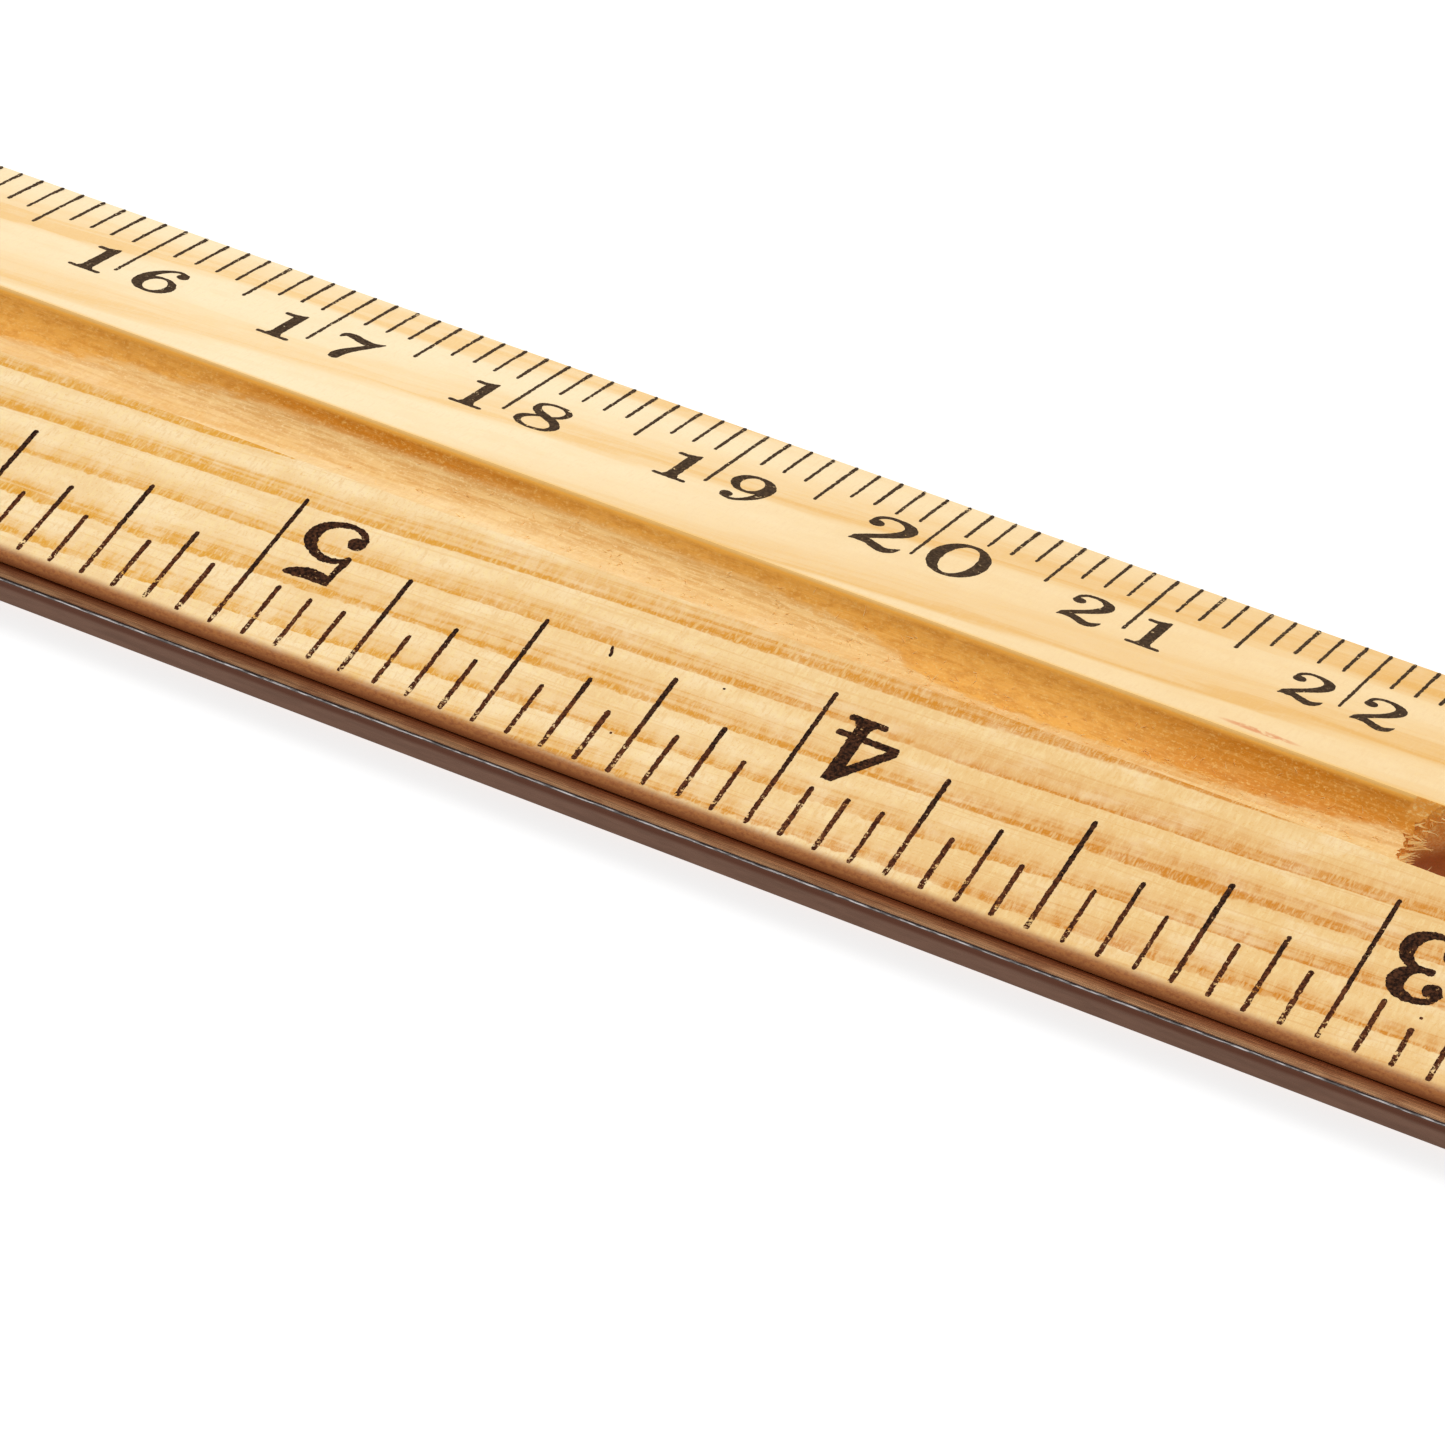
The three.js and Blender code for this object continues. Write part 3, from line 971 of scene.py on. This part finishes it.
def stained(g, wood, x, y, z, ruler, late):
    """The wood's colour with what machining and lacquer did to the groove, bores and ends, and with
    painted light and shade in the groove, the bores and along the near edge.
    """
    flecks = g.noise(g.stretch(ruler, 5.0, 8.0, 8.0), detail=4.0, roughness=0.75)
    stain = g.noise(g.stretch(ruler, 1.2, 2.5, 2.5), detail=4.0, roughness=0.7)
    printed_side = g.smooth(z, UNSTAINED_BELOW, UNSTAINED_BELOW + 0.4)
    shade = stained_groove(g, wood, x, y, ruler, flecks, stain, printed_side)
    shade = g.mix(resin_share(g, x, y, stain, printed_side), shade, colour(224, 146, 96))

    # Painted shade: the rounded near edge turns brown, darkest in the crevice against the steel.
    edge_shade_tone = g.mix(g.smooth(flecks, 0.4, 0.65), colour(174, 110, 60), colour(150, 88, 48))
    shade = g.mix(g.smooth(y, 0.16, 0.72, 1.0, 0.0), shade, edge_shade_tone)
    shade = g.mix(g.smooth(y, 0.02, 0.1, 1.0, 0.0), shade, colour(160, 92, 48))

    facing_x, facing_y, _ = g.split(g.node("NewGeometry", output=1))
    shade = stained_holes(g, shade, x, y, z, facing_x, facing_y, flecks)
    end_face = g.smooth(g.math("ABSOLUTE", facing_x), 0.9, 0.97)
    near_end = g.math("MAXIMUM", g.smooth(x, 0.0, 0.3, 1.0, 0.0),
                      g.smooth(x, LENGTH - 0.3, LENGTH))
    end_tone = g.mix(late, colour(214, 168, 112), colour(160, 104, 58))
    return g.mix(g.times(end_face, near_end), shade, end_tone)


def pine_bump(g, ruler):
    """Height of the fine grain under the lacquer."""
    fibre = g.noise(g.stretch(ruler, 0.6, 9.0, 9.0), detail=4.0, roughness=0.6)
    chatter = g.noise(g.stretch(ruler, 6.0, 1.4, 1.4))
    return g.math("MULTIPLY_ADD", chatter, 0.5, fibre)


def new_material(name):
    """A new material, with its node graph and its shader."""
    material = bpy.data.materials.new(name)
    material.use_nodes = True
    graph = Graph(material.node_tree)
    return material, graph, material.node_tree.nodes["Principled BSDF"]


def make_pine_material():
    material, g, shader = new_material("lacquered_pine")
    x, y, z, ruler = places_on_ruler(g)
    wood, late = pine_colour(g, x, y, z, ruler)
    g.feed(shader.inputs["Base Color"], stained(g, wood, x, y, z, ruler, late))
    g.feed(shader.inputs["Roughness"], g.smooth(late, 0.0, 1.0, 0.6, 0.45))
    bump = g.node("Bump", {"Strength": 0.5, "Distance": 0.00003, "Height": pine_bump(g, ruler)})
    g.feed(shader.inputs["Normal"], bump)
    shader.inputs["Specular IOR Level"].default_value = 0.15
    return material


def make_fibre_material():
    material, g, shader = new_material("torn_fibre")
    *_, ruler = places_on_ruler(g)
    tint = g.noise(g.stretch(ruler, 1.5, 1.5, 1.5))
    tone = g.mix(g.smooth(tint, 0.35, 0.65), colour(255, 230, 166), colour(250, 198, 112))
    g.feed(shader.inputs["Base Color"], tone)
    shader.inputs["Roughness"].default_value = 0.6
    return material


def make_ink_material():
    """Black-brown stamping ink that has missed the wood in small spots."""
    material, g, shader = new_material("stamped_ink")
    x, y, z, ruler = places_on_ruler(g)
    wood, _ = pine_colour(g, x, y, z, ruler)
    blot = g.noise(g.stretch(ruler, 2.6, 2.6, 2.6), detail=5.0, roughness=0.75)
    speck = g.noise(g.stretch(ruler, 7.0, 7.0, 7.0), detail=3.0, roughness=0.6)
    towards_edges = g.math("ADD", g.smooth(y, 0.4, 4.2, 0.075, 0.0),
                           g.smooth(y, 22.5, 26.5, 0.0, 0.05))
    missed = g.math("MULTIPLY_ADD", speck, 0.35, g.times(blot, 0.65))
    gap = g.smooth(g.math("ADD", missed, towards_edges), 0.6, 0.66)
    metric_side = g.smooth(y, 14.0, 16.0)
    browner = g.smooth(y, 3.4, 3.8, 1.0, 0.0)
    thick = g.mix(metric_side, colour(28, 13, 6), colour(56, 41, 27))
    thin = g.mix(metric_side, colour(84, 50, 30), colour(86, 66, 46))
    thick = g.mix(browner, thick, colour(58, 25, 10))
    thin = g.mix(browner, thin, colour(112, 62, 32))
    tone = g.mix(g.smooth(speck, 0.35, 0.7), thick, thin)
    g.feed(shader.inputs["Base Color"], g.mix(gap, tone, wood))
    g.feed(shader.inputs["Roughness"], g.smooth(blot, 0.3, 0.7, 0.6, 0.8))
    shader.inputs["Specular IOR Level"].default_value = 0.05
    bump = g.node("Bump", {"Strength": 0.4, "Distance": 0.00002, "Height": blot})
    g.feed(shader.inputs["Normal"], bump)
    return material


def make_steel_material():
    """Rolled steel under a brown lacquer, with painted reflections: the wood's edge on its top face,
    and a dark line and a broken glint along its upper front corner.
    """
    material, g, shader = new_material("browned_steel")
    _, y, z, ruler = places_on_ruler(g)
    mottle = g.noise(g.stretch(ruler, 0.5, 3.0, 3.0), detail=4.0, roughness=0.6)
    scratch = g.noise(g.stretch(ruler, 0.25, 26.0, 26.0), detail=3.0)
    breaks = g.noise(g.stretch(ruler, 1.3, 12.0, 12.0), detail=4.0, roughness=0.75)
    top_side = g.smooth(z, STEEL_TOP - 0.04, STEEL_TOP - 0.01)
    face = g.mix(g.smooth(mottle, 0.3, 0.7), colour(98, 72, 59), colour(108, 80, 66))
    run = g.times(g.smooth(z, STEEL_TOP - 0.6, STEEL_TOP - 0.35),
                  g.smooth(z, STEEL_TOP - 0.2, STEEL_TOP - 0.1, 1.0, 0.0))
    face = g.mix(g.times(run, 0.85), face, colour(80, 45, 31))
    # Painted reflection on the top face: the wood's rounded edge mirrored in tan, with painted shade
    # turning it dark brown against the wood.
    upper = g.mix(g.smooth(y, -0.75, -0.3), colour(170, 126, 90), colour(146, 94, 60))
    upper = g.mix(g.smooth(mottle, 0.45, 0.65, 0.0, 0.6), upper, colour(122, 70, 44))
    upper = g.mix(g.smooth(y, -0.5, -0.02), upper, colour(98, 48, 24))
    tone = g.mix(top_side, face, upper)
    rim = g.smooth(y, STEEL_FRONT + 0.05, STEEL_FRONT + 0.12, 1.0, 0.0)
    # Painted highlight: where the silver glint along the upper front corner breaks.
    glint_breaks = g.smooth(breaks, 0.42, 0.62, 0.15, 0.85)
    # Painted reflection: a dark line along the upper front corner.
    dark_edge_reflection = g.times(rim, g.smooth(z, STEEL_TOP - 0.16, STEEL_TOP - 0.12))
    tone = g.mix(dark_edge_reflection, tone, colour(40, 28, 24))
    # Painted highlight: the broken silver glint along the upper front corner.
    corner = g.times(g.smooth(z, STEEL_TOP - 0.13, STEEL_TOP - 0.09),
                     g.smooth(z, STEEL_TOP - 0.035, STEEL_TOP - 0.015, 1.0, 0.0))
    corner = g.times(rim, corner)
    tone = g.mix(g.times(corner, glint_breaks), tone, colour(214, 206, 204))
    g.feed(shader.inputs["Base Color"], tone)
    g.feed(shader.inputs["Roughness"], g.smooth(scratch, 0.3, 0.7, 0.2, 0.34))
    shader.inputs["Metallic"].default_value = 1.0
    bump = g.node("Bump", {"Strength": 0.25, "Distance": 0.00001, "Height": scratch})
    g.feed(shader.inputs["Normal"], bump)
    return material


# ---------------------------------------------------------------- stage


def make_floor():
    mesh = bmesh.new()
    bmesh.ops.create_grid(mesh, x_segments=1, y_segments=1, size=FLOOR_HALF_WIDTH)
    floor = finish_mesh("floor", mesh)
    floor.location.z = -FLOOR_DROP
    material, _, shader = new_material("pale_floor")
    shader.inputs["Base Color"].default_value = (0.3, 0.3, 0.3, 1.0)
    shader.inputs["Roughness"].default_value = 0.9
    shader.inputs["Emission Color"].default_value = (1.0, 1.0, 1.0, 1.0)
    shader.inputs["Emission Strength"].default_value = 0.8
    floor.data.materials.append(material)


def make_area_light(name, place, target, size, power):
    data = bpy.data.lights.new(name, "AREA")
    data.shape = "SQUARE"
    data.size = size
    data.energy = power
    light = bpy.data.objects.new(name, data)
    light.location = place
    light.rotation_euler = (target - place).to_track_quat("-Z", "Y").to_euler()
    bpy.context.scene.collection.objects.link(light)


def make_lighting():
    world = bpy.data.worlds.new("studio")
    world.use_nodes = True
    background = world.node_tree.nodes["Background"]
    background.inputs["Color"].default_value = (1.0, 1.0, 1.0, 1.0)
    background.inputs["Strength"].default_value = WORLD_STRENGTH
    bpy.context.scene.world = world
    make_area_light("top_softbox", SOFTBOX_PLACE, SOFTBOX_AIM, SOFTBOX_SIZE, SOFTBOX_POWER)


def make_camera():
    data = bpy.data.cameras.new("camera")
    data.sensor_width = 36.0
    data.lens = CAMERA_LENS
    data.clip_start = 0.01
    data.clip_end = 20.0
    camera = bpy.data.objects.new("camera", data)
    right = Vector(CAMERA_RIGHT).normalized()
    look = Vector(CAMERA_LOOK).normalized()
    up = right.cross(look)
    rotation = Matrix((right, up, -look)).transposed().to_4x4()
    camera.matrix_world = Matrix.Translation(to_frame(*CAMERA_PLACE)) @ rotation
    bpy.context.scene.collection.objects.link(camera)
    bpy.context.scene.camera = camera


# ---------------------------------------------------------------- assembly


def place_piece(piece, material, nodes=()):
    """Gives a piece its material and its body, and hides the CAD nodes it stands for."""
    piece.data.materials.clear()
    piece.data.materials.append(material)
    for polygon in piece.data.polygons:
        polygon.use_smooth = False
    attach(piece, "root")
    if nodes:
        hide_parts(*nodes)


make_camera()
make_lighting()
make_floor()
bpy.context.scene.view_settings.view_transform = "Standard"

place_piece(make_wood(), make_pine_material(), ["wood_body"])
fibres = make_fibres(random.Random(RANDOM_SEED + 1))
place_piece(fibres, make_fibre_material())
steel = loft("steel_strip", steel_section, STEEL_STEP)
place_piece(steel, make_steel_material(), ["steel_edge"])

ink = make_ink_material()
numerals = numeral_outlines()
draw = random.Random(RANDOM_SEED)
for printed in (make_inch_ticks(draw), make_inch_numbers(numerals),
                make_metric_ticks(draw), make_metric_numbers(numerals, draw)):
    place_piece(printed, ink)
